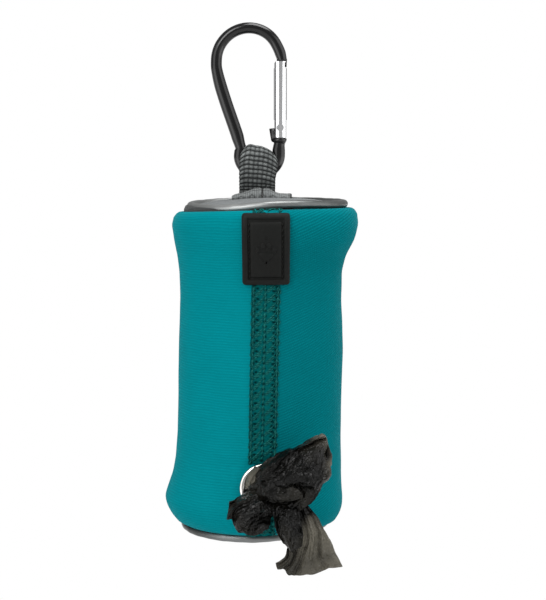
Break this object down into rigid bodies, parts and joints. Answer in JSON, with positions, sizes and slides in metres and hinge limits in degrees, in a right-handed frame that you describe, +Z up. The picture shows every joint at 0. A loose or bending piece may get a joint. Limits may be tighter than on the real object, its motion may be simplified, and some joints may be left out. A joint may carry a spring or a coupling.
{
  "type": "dog bag dispenser",
  "caption": "Soft cylindrical dog bag dispenser: zipped neoprene sleeve with piped ends, front seam, eyelet with a bag pulled through, webbing loop and snap hook.",
  "frame": {"origin": "the point inside the snap hook's crown at which the dispenser hangs", "axes": "+Z up, +X to the right seen from the front, -Y towards the front with the seam and eyelet"},
  "size_m": [0.0523, 0.0613, 0.1489],
  "materials": {
    "black_hook": "black anodised, glossy",
    "gate_metal": "polished",
    "steel": "plain",
    "webbing": "woven polyester webbing",
    "anchor_tape": "fine woven tape",
    "panel_cloth": "coated woven cloth",
    "piping_cloth": "silver-grey satin piping",
    "piping_cord": "cotton cord",
    "zip_tape": "woven zip tape",
    "zip_nylon": "nylon coil",
    "neoprene": "neoprene faced with fine ribbed knit",
    "seam_thread": "flatlock thread",
    "badge_rubber": "moulded, matt",
    "badge_thread": "sewing thread",
    "nickel": "nickel plated",
    "slider_metal": "dark enamel",
    "core_card": "grey-brown card",
    "bag_film": "thin black film"
  },
  "bodies": {
    "carabiner": {"carabiner_frame": "black_hook", "catch_pin": "steel"},
    "gate": {"gate_rod": "gate_metal", "gate_rivet": "gate_metal", "gate_spring": "steel", "spring_plunger": "steel"},
    "loop": {"loop_webbing": "webbing"},
    "lid": {"loop_foot": "webbing", "anchor_tape_left": "anchor_tape", "anchor_tape_right": "anchor_tape", "top_panel": "panel_cloth", "top_piping": "piping_cloth", "top_piping_cord": "piping_cord", "lid_zip_tape": "zip_tape", "lid_zip_coil": "zip_nylon", "hinge_tape": "zip_tape"},
    "pouch": {"sleeve": "neoprene", "seam_threads": "seam_thread", "badge": "badge_rubber", "badge_stitching": "badge_thread", "eyelet": "nickel", "eyelet_washer": "nickel", "pouch_zip_tape": "zip_tape", "pouch_zip_coil": "zip_nylon", "zip_stops": "steel", "bottom_panel": "panel_cloth", "bottom_piping": "piping_cloth", "bottom_piping_cord": "piping_cord"},
    "slider": {"zip_slider": "slider_metal", "puller_pin": "steel"},
    "puller": {"zip_puller": "slider_metal"},
    "roll": {"bag_core": "core_card", "bag_roll": "bag_film"},
    "tail": {"bag_tail": "bag_film"}
  },
  "joints": [
    {"name": "gate_hinge", "type": "hinge", "parent": "carabiner", "child": "gate", "pos_m": [0.00865, 0, -0.0261], "axis": [0, -1, 0], "range_deg": [0, 40], "stiffness_Nm_per_rad": 0.01, "springref_deg": -17.19},
    {"name": "carabiner_tilt", "type": "hinge", "parent": "carabiner", "child": "loop", "pos_m": [0.0027, 0, -0.0338], "axis": [0, 1, 0], "range_deg": [-8, 8]},
    {"name": "loop_flex", "type": "hinge", "parent": "loop", "child": "lid", "pos_m": [0.00295, 0, -0.0425], "axis": [1, 0, 0], "range_deg": [-35, 35]},
    {"name": "lid_hinge", "type": "hinge", "parent": "lid", "child": "pouch", "pos_m": [-0.01387, -0.01569, -0.04845], "axis": [-0.682, 0.7314, 0], "range_deg": [0, 100]},
    {"name": "zip_travel", "type": "hinge", "parent": "pouch", "child": "slider", "pos_m": [0.00295, 0, -0.0489], "axis": [0, 0, -1], "range_deg": [0, 186]},
    {"name": "puller_swing", "type": "hinge", "parent": "slider", "child": "puller", "pos_m": [-0.01486, 0.02049, -0.04845], "axis": [0.7547, 0.6561, 0], "range_deg": [0, 150]},
    {"name": "roll_spin", "type": "hinge", "parent": "pouch", "child": "roll", "pos_m": [0.00295, 0, -0.1079], "axis": [0, 0, 1], "range_deg": [0, 80]},
    {"name": "tail_pull", "type": "slide", "parent": "pouch", "child": "tail", "axis": [0, -1, 0], "range_m": [0, 0.025]}
  ],
  "couplings": [
    {"joint": "tail_pull", "follows": "roll_spin", "m_per_rad": 0.0175}
  ]
}
